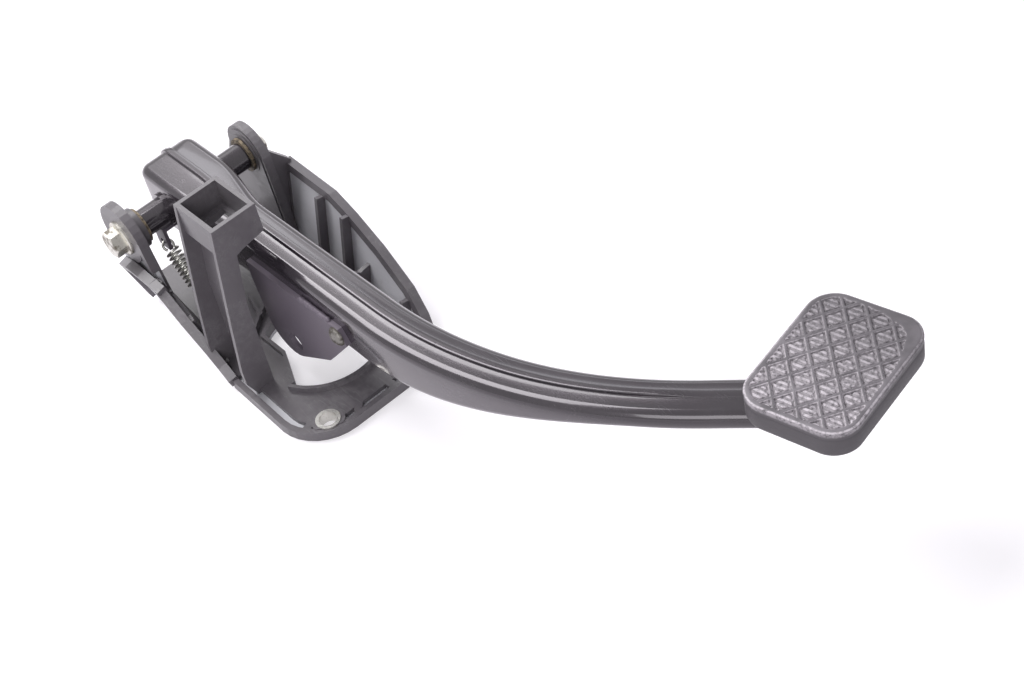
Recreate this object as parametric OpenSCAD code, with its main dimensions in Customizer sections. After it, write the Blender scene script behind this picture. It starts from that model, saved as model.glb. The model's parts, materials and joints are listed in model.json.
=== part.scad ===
// Hanging brake pedal with its pressed steel and plastic bracket.
// X runs down the bulkhead from the pivot to the pad, Y along the pivot, Z out to the driver.
// The origin is the middle of the fixing holes, on the mounting face.

/* [Mounting face] */
// Distance between the fixing holes along X
bolt_gap_x = 88; // [84:1:90]
// Distance between the fixing holes along Y
bolt_gap_y = 60; // [58:1:61]
// Radius of the round pushrod opening
opening_r = 31; // [26:1:34]
// Distance from the origin to the straight left side of the opening
opening_left = 17; // [15:1:20]
// Distance from the origin to the top end of the tray
tray_top = 114; // [112:1:118]
// Distance from the origin to the bottom end of the tray
tray_bottom = 50.5; // [49:0.5:54]

/* [Pressed steel tray] */
// Thickness of the pressed steel
sheet_t = 2; // [1.5:0.1:2.4]
// Distance from the origin to the foot of the left cheek beside the pivot
left_foot = 34; // [33.5:0.5:35]
// Distance from the origin to the left edge of the tray beside the fixings
left_edge = 44; // [43:0.5:45]
// Distance from the origin to the foot of the flared right panel
right_foot = 39; // [38:0.5:42]
// Outward lean of the left cheek
left_lean = 16; // [12:1:18]
// Outward lean of the flared right panel
panel_lean = 12; // [8:1:14]
// Height of the left cheek beside the pivot ear
left_rim_h = 42; // [38:1:44]
// Height of the flared panel at its top end
panel_h = 46; // [42:1:50]
// Height of the low rim round the bottom end
low_rim_h = 4; // [3:0.5:6]

/* [Plastic moulding] */
// Thickness of the plastic lining and ribs
wall_t = 2.4; // [2:0.1:3]
// Width of the bead that caps the steel edges
bead_w = 3; // [2.5:0.1:4]
// Width of the bare steel strip that shows inside the bead
strip_w = 4; // [3:0.5:5]
// Height of the fixing bosses
boss_h = 6; // [5:0.5:8]
// Outer radius of the fixing bosses
boss_r = 8.2; // [7.8:0.1:8.4]

/* [Switch tower] */
// Length of the switch socket along X
socket_l = 32; // [28:1:36]
// Width of the switch socket across the pedal
socket_w = 25; // [22:1:27]
// Height of the top of the socket
socket_top = 104; // [102:1:110]
// Depth of the socket walls
socket_d = 14; // [12:1:16]

/* [Pivot] */
// Distance from the origin to the pivot along X
pivot_back = 90; // [88:1:92]
// Height of the pivot
pivot_z = 57; // [55:1:60]
// Distance from the middle to each ear boss along the pivot
ear_gap = 34; // [32:0.5:36]
// Radius of the left ear
ear_r = 17; // [16:0.5:18]
// Radius of the right ear
right_ear_r = 14.5; // [14:0.5:16]
// Outer radius of the pivot tube
tube_r = 7.25; // [7.2:0.05:7.6]
// Wall of the pivot tube
tube_wall = 1.25; // [1:0.05:1.4]
// Wall of the pivot bushes
bush_wall = 1; // [0.8:0.05:1.1]
// Radial running clearance of the bushes
run_gap = 0.05; // [0.03:0.01:0.08]
// Radius of the pivot bolt
bolt_r = 4; // [3.8:0.05:4.1]

/* [Pedal arm] */
// Height of the arm's front face
arm_front_z = 75; // [73:0.5:77]
// Depth of the arm at the pivot
arm_depth = 34; // [32:1:36]
// Depth of the arm past the pushrod lugs
arm_mid_depth = 27; // [25:1:29]
// Depth of the arm under the pad
arm_end_depth = 10; // [9:1:13]
// Width of the arm at the pivot
arm_w = 33; // [31:0.5:34]
// Width of the arm past the pushrod lugs
arm_mid_w = 22; // [20:0.5:24]
// Thickness of the pressed arm shells
shell_t = 2; // [1.6:0.1:2.4]
// Radius of the sideways bend
bend_r = 235; // [220:5:250]
// Angle of the sideways bend
bend_angle = 40; // [36:1:42]

/* [Pad] */
// Width of the pad across the car
pad_w = 68; // [60:1:72]
// Height of the pad
pad_l = 49; // [46:1:56]
// Thickness of the rubber
pad_t = 12; // [10:0.5:14]
// Corner radius of the pad
pad_corner = 12; // [9:1:15]
// Turn of the pad on the arm
pad_turn = 12; // [6:1:16]

/* [Hidden] */
fine = 64;
medium = 40;
cut = 0.5;
fit = 0.1;

// Fixings
sleeve_r = 6.2;
sleeve_bore = 4.4;
sleeve_proud = 0.5;

// How far the leaning walls stand in over the edge of the floor
floor_lap = 0.7;

// Pivot stack
pivot_x = -pivot_back;
bush_r = tube_r - tube_wall;
spacer_r = bush_r - bush_wall - run_gap;
spacer_bore = bolt_r + 0.15;
bush_flange_r = tube_r + 2.25;
bush_flange_t = 1.5;
bush_l = 16;
side_gap = 0.3;
weld_t = 1.6;
tube_half = ear_gap - bush_flange_t - side_gap;
ear_left = ear_gap + 6;
ear_right = ear_gap + 2;
ear_lining = 1.6;
rib_t = 1.6;
rib_h = 8;
rib_post = [-40, -10];
left_ear_out = ear_left + sheet_t + 2;
right_ear_out = ear_right + sheet_t + 2;
flange_r = 9.5;
flange_t = 1.6;
hex_af = 13;
head_h = 6.4;
nut_h = 4.5;
nut_flange_r = 7.9;
nut_recess_r = 8.3;
nut_seat = ear_right + sheet_t;
bolt_tip = nut_seat + flange_t + nut_h + 1.5;

// Arm
tail_x = pivot_x - 22;
bend_x = 70;
end_straight = 50;
tail_y = -0.5;
mid_y = -2.5;
lip_h = 1.6;
low_lip_h = 1;
pad_gap = 0.3;
seam_share = 0.09;
corner_r = 4.5;

plate_t = 3;
end_rise = 3;
pad_under_z = arm_front_z + end_rise + pad_gap;

// Lugs
lug_t = 2.5;
pin_r = 5;
pin_x = 7;
pin_z = 23;
rivet_x = 54;
rivet_z = 58;
lobe = [1, 27.5];
lobe_r = 15.5;
lug_top = 63;
rivet_r = 3;

// Pad
pad_x = 253;
pad_y = 88;
skirt = 2;
arm_gap = 1;
tread_angle = 52;

// Spring, drawn from its anchor on the floor to its hole in the arm's tab
spring_y = -23;
anchor = [-70, spring_y, 13];
tab_hole = [pivot_x - 3, spring_y, 38];
tab_rise = 7.6;
hook_hole_r = 1.6;
hook_gap = 0.33;
tab_w = 10;
spring_r = 3.6;
wire_r = 0.7;
hook_r = 2.8;
spring_turns = 9;
coil_steps = 14;

function arc(c, r, a0, a1, n) =
    [for (i = [0 : n]) c + r * [cos(a0 + (a1 - a0) * i / n), sin(a0 + (a1 - a0) * i / n)]];
function smooth(u) = let (v = min(1, max(0, u))) v * v * (3 - 2 * v);
function mix(a, b, u) = a + (b - a) * smooth(u);
function unit(v) = v / norm(v);
function left_normal(a, b) = let (d = unit(b - a)) [-d[1], d[0]];
// A corner of a closed anticlockwise outline, moved inwards by d
function inset_corner(p, q, r, d) =
    let (n1 = left_normal(p, q), n2 = left_normal(q, r), k = 1 + n1 * n2)
    q + d * (n1 + n2) / k;
function inset(pts, d) =
    let (n = len(pts))
    [for (i = [0 : n - 1]) inset_corner(pts[(i + n - 1) % n], pts[i], pts[(i + 1) % n], d)];

// Foot lines of the cheeks in plan
left_foot_a = [12 - tray_top, -left_foot];
left_foot_b = [pivot_x + 28, -left_foot];
left_foot_c = [-14, 1 - left_edge];
panel_top_x = pivot_x + 12;

// Plan outline of the tray, anticlockwise seen from above
function tray_outline() = concat(
    [[-tray_top, 8 - left_foot], left_foot_a, left_foot_b, left_foot_c],
    arc([tray_bottom - 23, 23 - left_edge], 23, -90, 0, 8),
    arc([tray_bottom - 24, right_foot - 22], 24, 0, 90, 8),
    [[panel_top_x, right_foot + 3], [panel_top_x, ear_right + sheet_t], [-tray_top, ear_right + sheet_t]]);

// Cheek outlines in their own plane: along the foot, and up the slope
left_slope = left_rim_h / cos(left_lean);
left_b_l = norm(left_foot_c - left_foot_b);
function cheek_a() = [[0, 0], [left_foot_b[0] - left_foot_a[0] + 1, 0],
    [left_foot_b[0] - left_foot_a[0] + 1, left_slope - 2], [26, left_slope], [14, left_slope - 1],
    [0, left_slope - 9]];
function cheek_b() = [[-1, 0], [left_b_l - 1.5, 0], [left_b_l - 1.5, low_rim_h + 2], [left_b_l - 9, low_rim_h + 5],
    [left_b_l - 18, left_slope * 0.36], [left_b_l - 29, left_slope * 0.68], [-1, left_slope - 2]];
function flared_panel() =
    [[0, 0], [tray_bottom - 17 - panel_top_x, 0], [tray_bottom - 17 - panel_top_x, low_rim_h],
     [108, 10], [98, 20], [76, panel_h - 14], [54, panel_h - 5], [38, panel_h], [0, panel_h + 2]];
// Ear plates, as X and Z
function ear_plate(r, foot_z, foot_l) = concat(
    [[2 - tray_top, foot_z], [pivot_x + foot_l, foot_z]],
    arc([pivot_x, pivot_z], r, 0, 180, 16),
    [[2 - tray_top, pivot_z - r]]);
function left_ear_plate() =
    concat([[pivot_x - 12, 24], [pivot_x + 24, 24]], arc([pivot_x, pivot_z], ear_r, 0, 180, 16));
function right_ear_plate() = ear_plate(right_ear_r, 0, ear_r);

// Puts a drawing on a wall whose foot runs from p towards q, growing outwards
module on_wall(p, q, lean) {
    translate([p[0], p[1], 0]) rotate([0, 0, atan2(q[1] - p[1], q[0] - p[0])])
        rotate([90 + lean, 0, 0]) translate([0, 0, lean > 0 ? -floor_lap : 0]) children();
}
module on_cheek_a() { on_wall(left_foot_a, left_foot_b, left_lean) children(); }
module on_cheek_b() { on_wall(left_foot_b, left_foot_c, left_lean) children(); }
module on_panel() {
    mirror([0, 1, 0]) on_wall([panel_top_x, -right_foot], [0, -right_foot], panel_lean) children();
}
module on_left_ear() { on_wall([0, -ear_left], [1, -ear_left], 0) children(); }
module on_right_ear() { mirror([0, 1, 0]) on_wall([0, -ear_right], [1, -ear_right], 0) children(); }
// Puts a drawing of Y and Z at an X, growing towards +X
module across(x) {
    translate([x, 0, 0]) rotate([90, 0, 90]) children();
}
module along_pivot(y0, y1, r) {
    translate([pivot_x, y1, pivot_z]) rotate([90, 0, 0]) cylinder(h = y1 - y0, r = r, $fn = fine);
}
module at_bolts() {
    for (sx = [-1, 1]) for (sy = [-1, 1])
        translate([sx * bolt_gap_x / 2, sy * bolt_gap_y / 2, 0]) children();
}
module opening_shape(grow) {
    intersection() {
        circle(r = opening_r + grow, $fn = fine);
        polygon([[-60, -opening_left - grow], [-8, -opening_left - grow], [12, -26 - grow], [16, -60],
            [60, -60], [60, 60], [-60, 60]]);
    }
}

// Pressed steel tray
module above_floor() {
    difference() {
        union() children();
        translate([-200, -200, -100]) cube([400, 400, 100]);
    }
}
module sheet_solid() {
    above_floor() {
        linear_extrude(sheet_t) polygon(tray_outline());
        on_cheek_a() linear_extrude(sheet_t) polygon(cheek_a());
        on_cheek_b() linear_extrude(sheet_t) polygon(cheek_b());
        on_panel() linear_extrude(sheet_t) polygon(flared_panel());
        on_left_ear() linear_extrude(sheet_t) polygon(left_ear_plate());
        on_right_ear() linear_extrude(sheet_t) polygon(right_ear_plate());
    }
}
module bracket_sheet() {
    color("silver") difference() {
        sheet_solid();
        translate([0, 0, -cut]) linear_extrude(sheet_t + 2 * cut) opening_shape(0);
        at_bolts() translate([0, 0, -cut]) cylinder(h = sheet_t + 2 * cut, r = sleeve_r + fit, $fn = fine);
        along_pivot(-ear_left - 10, ear_right + 10, spacer_bore);
    }
}

// Plastic moulding
module rim_bead(pts, foot) {
    translate([0, 0, -1]) linear_extrude(bead_w + sheet_t) difference() {
        polygon(inset(pts, -1.5));
        polygon(inset(pts, bead_w));
        translate([-200, -20]) square([400, 20 + foot]);
    }
}
module cheek_beads() {
    on_cheek_a() rim_bead(cheek_a(), 6);
    on_cheek_b() rim_bead(cheek_b(), 3);
    on_panel() rim_bead(flared_panel(), 3);
    on_left_ear() rim_bead(left_ear_plate(), pivot_z - ear_r + 4);
    on_right_ear() rim_bead(right_ear_plate(), 6);
    linear_extrude(low_rim_h + 1.5) difference() {
        polygon(inset(tray_outline(), -bead_w));
        polygon(inset(tray_outline(), 0));
        translate([-200, -200]) square([183.5, 400]);
    }
}
module cheek_linings() {
    top = left_slope - bead_w - strip_w;
    on_cheek_a() translate([0, 0, -wall_t]) linear_extrude(wall_t)
        polygon([[3, 0], [left_foot_b[0] - left_foot_a[0], 0], [left_foot_b[0] - left_foot_a[0], top - 2],
            [26, top], [3, top - 8]]);
    on_cheek_b() translate([0, 0, -wall_t]) linear_extrude(wall_t)
        polygon([[-1, 0], [left_b_l - 12, 0], [left_b_l - 22, left_slope * 0.3], [left_b_l - 32, left_slope * 0.5],
            [-1, top - 2]]);
    on_cheek_a() for (u = [14, 34]) translate([u, top - 14, -wall_t]) cube([4, strip_w + 15, wall_t]);
    on_cheek_b() translate([16, 16, -wall_t]) cube([5, 12, wall_t]);
}
module floor_lining() {
    translate([0, 0, sheet_t]) linear_extrude(wall_t) difference() {
        union() {
            polygon(inset(tray_outline(), strip_w));
            intersection() {
                polygon(inset(tray_outline(), 0.5));
                translate([-tray_top, -100]) square([tray_top - 16, 200]);
            }
            for (a = [-74, -38, 8, 62]) translate([tray_bottom - 25, 0]) rotate(a) square([60, 4]);
        }
        opening_shape(0);
        difference() {
            translate([-200, -100]) square([400, 200]);
            polygon(inset(tray_outline(), 0.1));
        }
    }
    translate([0, 0, sheet_t]) linear_extrude(wall_t + 3) difference() {
        opening_shape(2);
        opening_shape(0);
    }
}
module bosses() {
    // The upper bosses end inside the walls, and the lower ones run into the low rim
    for (sx = [-1, 1]) linear_extrude(boss_h) intersection() {
        polygon(inset(tray_outline(), sx < 0 ? floor_lap / 2 : -1));
        for (sy = [-1, 1])
            translate([sx * bolt_gap_x / 2, sy * bolt_gap_y / 2]) circle(r = boss_r, $fn = fine);
    }
}
module ear_bosses() {
    along_pivot(-ear_left, -ear_gap, bush_flange_r + 1.5);
    along_pivot(ear_gap, ear_right, bush_flange_r + 1.5);
    on_left_ear() translate([0, 0, -ear_lining]) linear_extrude(ear_lining) polygon(inset(left_ear_plate(), 0.5));
    on_right_ear() translate([0, 0, -ear_lining]) linear_extrude(ear_lining) polygon(inset(right_ear_plate(), 0.5));
    along_pivot(-left_ear_out, -ear_left - sheet_t, ear_r - bead_w + 1);
    along_pivot(ear_right + sheet_t, right_ear_out, right_ear_r - bead_w + 1);
}
module jog_web() {
    across(panel_top_x) linear_extrude(wall_t) polygon([[ear_right, sheet_t], [right_foot + 1, sheet_t],
        [right_foot + panel_h * tan(panel_lean), panel_h], [ear_right + 2, pivot_z + 4], [ear_right, pivot_z + 4]]);
    across(panel_top_x - 2) linear_extrude(2 + wall_t) polygon([
        [right_foot + panel_h * tan(panel_lean), panel_h - 1], [right_foot + panel_h * tan(panel_lean) + 2, panel_h + 3],
        [ear_right + 2, pivot_z + 7], [ear_right, pivot_z + 3]]);
}
module panel_ribs() {
    for (u = [31, 52, 98])
        on_panel() translate([u, 0, -5]) cube([wall_t, u < 90 ? panel_h - u / 14 : 16, 5]);
}
module upright(p, q, height) {
    d = q - p;
    translate([p[0], p[1], sheet_t]) rotate([0, 0, atan2(d[1], d[0])])
        translate([0, -rib_t / 2, 0]) cube([norm(d), rib_t, height - sheet_t]);
}
// Ribs that stand on the floor lining
module floor_ribs() {
    for (end = [[-25, -28], [-57, -5], [-50, 8]]) upright(rib_post, end, rib_h);
    translate([rib_post[0], rib_post[1], sheet_t]) cylinder(h = rib_h - sheet_t, r = rib_t, $fn = medium);
}
module panel_gusset() {
    translate([-12, 0, 0]) rotate([90, 0, 90]) linear_extrude(wall_t)
        polygon([[26, sheet_t], [right_foot, sheet_t], [right_foot + 4, 20], [36, 19], [27, 25], [26, 25]]);
}
// Plate standing on the floor that the lower spring hook passes through
module spring_anchor() {
    translate([anchor[0], anchor[1] + wall_t / 2, 0]) rotate([90, 0, 0]) linear_extrude(wall_t) difference() {
        polygon([[-5, sheet_t], [9, sheet_t], [4, anchor[2] + 3], [-3, anchor[2] + 3]]);
        translate([0, anchor[2]]) circle(r = hook_hole_r, $fn = 24);
    }
}
module tower() {
    x0 = -socket_l;
    y_in = -9;
    y_out = y_in - socket_w;
    z0 = socket_top - socket_d;
    foot = -left_edge + 3;
    plate = [[foot, sheet_t], [foot + 10, sheet_t], [-30, 55], [-26, z0 - 6], [y_in, z0],
             [y_in, socket_top], [y_out, socket_top], [foot - 1, 45], [foot - 4, 20], [foot - 4, 12]];
    for (x = [x0, -wall_t]) across(x) linear_extrude(wall_t) polygon(plate);
    across(x0) linear_extrude(socket_l) polygon([[foot + 10 - wall_t, sheet_t], [foot + 10, sheet_t],
        [-30, 55], [-26, z0 - 6], [-26 - wall_t, z0 - 6], [-30 - wall_t, 55]]);
    translate([x0, y_in - wall_t, z0]) cube([socket_l, wall_t, socket_d]);
    translate([x0, y_out, z0]) cube([socket_l, wall_t, socket_d]);
    difference() {
        across(x0) linear_extrude(socket_l) polygon([[y_out, z0], [y_out, z0 - wall_t], [-26, z0 - wall_t - 3],
            [y_in, z0 - wall_t], [y_in, z0]]);
        translate([x0 + 6, y_out + 5, z0 - 20]) cube([socket_l - 12, socket_w - 10, 40]);
    }
}
module bracket_moulding() {
    color("#26262a") difference() {
        union() {
            cheek_beads();
            floor_lining();
            bosses();
            ear_bosses();
            panel_ribs();
            floor_ribs();
            panel_gusset();
            jog_web();
            cheek_linings();
            spring_anchor();
            tower();
        }
        sheet_solid();
        at_bolts() translate([0, 0, -cut]) cylinder(h = boss_h + 2 * cut, r = sleeve_r, $fn = fine);
        along_pivot(-ear_left - 10, ear_right + 10, spacer_r);
        along_pivot(nut_seat, right_ear_out + cut, nut_recess_r);
    }
}

module fixing_sleeve(sx, sy) {
    color("gainsboro") translate([sx * bolt_gap_x / 2, sy * bolt_gap_y / 2, 0]) difference() {
        cylinder(h = boss_h + sleeve_proud, r = sleeve_r, $fn = fine);
        translate([0, 0, -cut]) cylinder(h = boss_h + 2 * cut + 1, r = sleeve_bore, $fn = fine);
    }
}

// Pivot stack
module pivot_bolt() {
    color("silver") union() {
        along_pivot(-left_ear_out, bolt_tip, bolt_r);
        along_pivot(-left_ear_out - flange_t, -left_ear_out, flange_r);
        translate([pivot_x, -left_ear_out - flange_t, pivot_z]) rotate([90, 0, 0])
            cylinder(h = head_h, r = hex_af / 2 / cos(30), $fn = 6);
    }
}
module pivot_nut() {
    color("silver") difference() {
        union() {
            along_pivot(nut_seat, nut_seat + flange_t, nut_flange_r);
            translate([pivot_x, nut_seat + flange_t + nut_h, pivot_z]) rotate([90, 0, 0])
                cylinder(h = nut_h, r = hex_af / 2 / cos(30), $fn = 6);
        }
        along_pivot(nut_seat - cut, nut_seat + flange_t + nut_h + cut, bolt_r + 0.02);
    }
}
module pivot_spacer() {
    color("lightgrey") difference() {
        along_pivot(-ear_left, ear_right, spacer_r);
        along_pivot(-ear_left - cut, ear_right + cut, spacer_bore);
    }
}
module pivot_tube() {
    color("#55565c") difference() {
        union() {
            along_pivot(-tube_half, tube_half, tube_r);
            along_pivot(tail_y - arm_w / 2 - weld_t, tail_y - arm_w / 2, tube_r + weld_t);
            along_pivot(tail_y + arm_w / 2, tail_y + arm_w / 2 + weld_t, tube_r + weld_t);
        }
        along_pivot(-tube_half - cut, tube_half + cut, bush_r);
    }
}
module pivot_bush(side) {
    color("#8a6f4d") mirror([0, side < 0 ? 1 : 0, 0]) difference() {
        union() {
            along_pivot(tube_half - bush_l, tube_half, bush_r);
            along_pivot(tube_half, tube_half + bush_flange_t, bush_flange_r);
        }
        along_pivot(tube_half - bush_l - cut, tube_half + bush_flange_t + cut, spacer_r + run_gap);
    }
}

// Pedal arm: a path of stations, each with its place, heading, width and depth
arm_steps = 34;
straight_l = bend_x - tail_x;
bend_l = bend_r * bend_angle * PI / 180;
arm_l = straight_l + bend_l + end_straight;
function heading(s) = min(bend_angle, max(0, (s - straight_l) / bend_r * 180 / PI));
function bend_end() = [bend_x + bend_r * sin(bend_angle), mid_y + bend_r * (1 - cos(bend_angle))];
function middle(s) =
    s < straight_l ? [tail_x + s, mix(tail_y, mid_y, narrowing(s))]
    : s < straight_l + bend_l ? [bend_x + bend_r * sin(heading(s)), mid_y + bend_r * (1 - cos(heading(s)))]
    : bend_end() + (s - straight_l - bend_l) * [cos(bend_angle), sin(bend_angle)];
function narrowing(s) = (tail_x + s + 76) / 46;
function half_w(s) = mix(arm_w, arm_mid_w, narrowing(s)) / 2;
function depth(s) = s < 130 ? mix(arm_depth, arm_mid_depth, (s - 30) / 80)
    : mix(arm_mid_depth, arm_end_depth, (s - 190) / 130);
function front_z(s) = arm_front_z + mix(0, end_rise, (s - 250) / (arm_l - 280));
// Rounding of the tail end: how far each side draws in
tail_r = 10;
function tail_in(s) = s > tail_r ? 0 : tail_r - sqrt(tail_r * tail_r - (tail_r - s) * (tail_r - s));
function station(i) = i < 5 ? tail_r * (1 - cos(18 * i)) : tail_r + (arm_l - tail_r) * (i - 5) / (arm_steps - 5);
function lip(s, side) = mix(side > 0 ? low_lip_h : lip_h, pad_gap, (s - arm_l + 70) / 20);
// Half section of a shell, side -1 left and 1 right, as lateral and height pairs
function shell_section(s, side) =
    let (t = shell_t, a = half_w(s) - tail_in(s), zf = front_z(s) - tail_in(s),
         zb = front_z(s) - depth(s) + tail_in(s), seam = seam_share * half_w(s), w = a - side * seam,
         c = min(corner_r, w - t - 0.4, (zf - zb) / 2 - 0.5), ci = max(0.8, c - t),
         outer = concat([[0, zf + lip(s, side)], [t, zf + lip(s, side)], [t, zf]],
             arc([w - c, zf - c], c, 90, 0, 4), arc([w - c, zb + c], c, 0, -90, 4), [[0, zb]]),
         inner = concat([[0, zb + t]], arc([w - t - ci, zb + t + ci], ci, -90, 0, 4),
             arc([w - t - ci, zf - t - ci], ci, 0, 90, 4), [[0, zf - t]]))
    [for (p = concat(outer, inner)) [side * p[0] + seam, p[1]]];
function place(s, p) =
    let (m = middle(s), h = heading(s)) [m[0] - p[0] * sin(h), m[1] + p[0] * cos(h), p[1]];
module shell_sweep(side) {
    n = len(shell_section(50, side));
    pts = [for (i = [0 : arm_steps]) for (p = shell_section(station(i), side)) place(station(i), p)];
    sides = [for (i = [0 : arm_steps - 1]) for (j = [0 : n - 1])
        let (a = i * n + j, b = i * n + (j + 1) % n, c = a + n, d = b + n)
        each (side < 0 ? [[a, b, d], [a, d, c]] : [[a, d, b], [a, c, d]])];
    // Each end is closed by a strip of triangles between the outer and inner outlines
    strip = concat([[0, 1, 2], [0, 2, n - 1]],
        [for (k = [0 : n - 16]) each [[2 + k, 3 + k, n - 2 - k], [2 + k, n - 2 - k, n - 1 - k]]]);
    function turned(f, on) = on ? [f[0], f[2], f[1]] : f;
    first = [for (f = strip) turned(f, side < 0)];
    last = [for (f = strip) turned(f, side > 0) + arm_steps * n * [1, 1, 1]];
    polyhedron(points = pts, faces = concat(sides, first, last), convexity = 8);
}
module arm_shell(side) {
    color("#1c1d21") difference() {
        shell_sweep(side);
        along_pivot(-40, 40, tube_r + 0.02);
        translate([rivet_x, 40, rivet_z]) rotate([90, 0, 0]) cylinder(h = 80, r = rivet_r + 0.02, $fn = medium);
    }
}
module arm_left_shell() { arm_shell(-1); }
module arm_right_shell() { arm_shell(1); }

// Pushrod lugs
function lug_outline() = concat(
    [[lobe[0] - 18, arm_front_z - arm_depth + 8], [lobe[0] - 16, lobe[1] + 3.5]],
    arc(lobe, lobe_r, 180, 300, 8),
    [[38, 31], [rivet_x + 6, rivet_z - 3], [rivet_x + 2, lug_top], [lobe[0] - 18, lug_top]]);
module lug_plate() {
    difference() {
        linear_extrude(lug_t) polygon(lug_outline());
        translate([pin_x, pin_z, -cut]) cylinder(h = lug_t + 2 * cut, r = pin_r, $fn = fine);
        translate([rivet_x, rivet_z, -cut]) cylinder(h = lug_t + 2 * cut, r = rivet_r + 0.02, $fn = medium);
    }
}
lug_y_left = arm_mid_w / 2 - mid_y;
lug_y_right = arm_mid_w / 2 + mid_y;
module pushrod_lug_left() {
    color("#2c2d31") translate([0, -lug_y_left, 0]) rotate([90, 0, 0]) lug_plate();
}
module pushrod_lug_right() {
    color("#2c2d31") mirror([0, 1, 0]) translate([0, -lug_y_right, 0]) rotate([90, 0, 0]) lug_plate();
}
// A rivet through a lug and the shell wall, heads on both faces
module lug_rivet(y) {
    color("silver") translate([rivet_x, -y, rivet_z]) rotate([90, 0, 0]) rotate_extrude($fn = 32)
        polygon(concat([[0, -shell_t - 1.5], [rivet_r + 1.5, -shell_t - 1.5], [rivet_r + 1.5, -shell_t],
            [rivet_r, -shell_t], [rivet_r, lug_t], [rivet_r + 2, lug_t]],
            [for (a = [15 : 15 : 75]) [(rivet_r + 2) * cos(a), lug_t + 3 * sin(a)]], [[0, lug_t + 3]]));
}
module lug_rivet_left() { lug_rivet(lug_y_left); }
module lug_rivet_right() { mirror([0, 1, 0]) lug_rivet(lug_y_right); }

// Bracket on the side of the arm that the upper spring hook passes through
module spring_tab() {
    arm_side = tail_y - arm_w / 2;
    color("#2c2d31") translate([tab_hole[0] - tab_w / 2, 0, 0]) difference() {
        union() {
            translate([0, spring_y - shell_t / 2, tab_hole[2] + tab_rise]) cube([tab_w, arm_side - spring_y + shell_t / 2, shell_t]);
            translate([0, spring_y - shell_t / 2, tab_hole[2] - 4]) cube([tab_w, shell_t, 4 + tab_rise + shell_t]);
        }
        translate([tab_w / 2, spring_y + shell_t, tab_hole[2]]) rotate([90, 0, 0])
            cylinder(h = 2 * shell_t, r = hook_hole_r, $fn = 24);
    }
}
function spring_axis() = unit(tab_hole - anchor);
// A point beside the spring's axis: across in Y, along in the third direction, up the axis
function beside(across, out, up) =
    anchor + up * spring_axis() + [0, across, 0] + out * cross(spring_axis(), [0, 1, 0]);
// Distances up the axis of the two hook tops, wire against the hole's edge
hook_low = hook_hole_r - wire_r - hook_gap;
hook_high = norm(tab_hole - anchor) - hook_low;
coil_low = hook_low + 2 * hook_r + 0.5;
coil_high = hook_high - 2 * hook_r - 0.5;
function coil_path() = concat(
    [for (a = [240 : -15 : -60]) beside(hook_r * cos(a), 0, hook_low + hook_r - hook_r * sin(a))],
    [for (i = [0 : spring_turns * coil_steps]) let (a = 360 * i / coil_steps)
        beside(spring_r * cos(a), spring_r * sin(a), coil_low + (coil_high - coil_low) * i / (spring_turns * coil_steps))],
    [for (a = [-60 : 15 : 240]) beside(hook_r * cos(a), 0, hook_high - hook_r + hook_r * sin(a))]);
function direction(p, i) = unit(p[min(len(p) - 1, i + 1)] - p[max(0, i - 1)]);
// The wire never runs along this direction
never_along = [0.7, 0.1, 0.75];
module wire_sweep(path, r, n) {
    pts = [for (i = [0 : len(path) - 1])
        let (d = direction(path, i), a = unit(cross(d, never_along)), b = cross(a, d))
        for (j = [0 : n - 1]) path[i] + r * (cos(360 * j / n) * a + sin(360 * j / n) * b)];
    last = len(path) - 1;
    polyhedron(points = pts, faces = concat(
        [for (i = [0 : last - 1]) for (j = [0 : n - 1])
            let (a = i * n + j, b = i * n + (j + 1) % n) each [[a, b, b + n], [a, b + n, a + n]]],
        [[for (j = [n - 1 : -1 : 0]) j], [for (j = [0 : n - 1]) last * n + j]]), convexity = 10);
}
module return_spring() {
    color("gainsboro") wire_sweep(coil_path(), wire_r, 8);
}

// Pad
module pad_shape(grow) {
    r = pad_corner + grow;
    l = pad_l / 2 + grow;
    w = pad_w / 2 + grow;
    polygon(concat(arc([l - r, w - r], r, 0, 90, 8), arc([r - l, w - r], r, 90, 180, 8),
        arc([r - l, r - w], r, 180, 270, 8), arc([l - r, r - w], r, 270, 360, 8)));
}
module at_pad(z) {
    translate([pad_x, pad_y, z]) rotate([0, 0, pad_turn]) children();
}
module pad_plate() {
    color("#1c1d21") at_pad(pad_under_z) linear_extrude(plate_t) pad_shape(-skirt);
}
module tread() {
    pitch = 8.6;
    for (side = [-1, 1]) for (i = [-7 : 7])
        rotate(side * tread_angle) translate([-60, i * pitch - 0.5]) square([120, 1]);
}
module arm_slot() {
    end = bend_end() + (end_straight + arm_gap) * [cos(bend_angle), sin(bend_angle)];
    translate([end[0], end[1], pad_under_z - 10]) rotate([0, 0, bend_angle])
        translate([-80, -arm_mid_w / 2 - arm_gap, 0]) cube([80, arm_mid_w + 2 * arm_gap, 10]);
}
module pad_rubber() {
    under = 1.6;
    color("#232428") {
        difference() {
            at_pad(pad_under_z - under) linear_extrude(pad_t + under - 1) pad_shape(0);
            at_pad(pad_under_z) linear_extrude(plate_t) pad_shape(-skirt);
            at_pad(pad_under_z - under - cut) linear_extrude(under + 2 * cut) pad_shape(-skirt - 3);
            arm_slot();
        }
        at_pad(pad_under_z + pad_t - 1.01) linear_extrude(1.01) {
            difference() { pad_shape(-1); pad_shape(-3.5); }
            intersection() { pad_shape(-3); tread(); }
        }
    }
}

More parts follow.
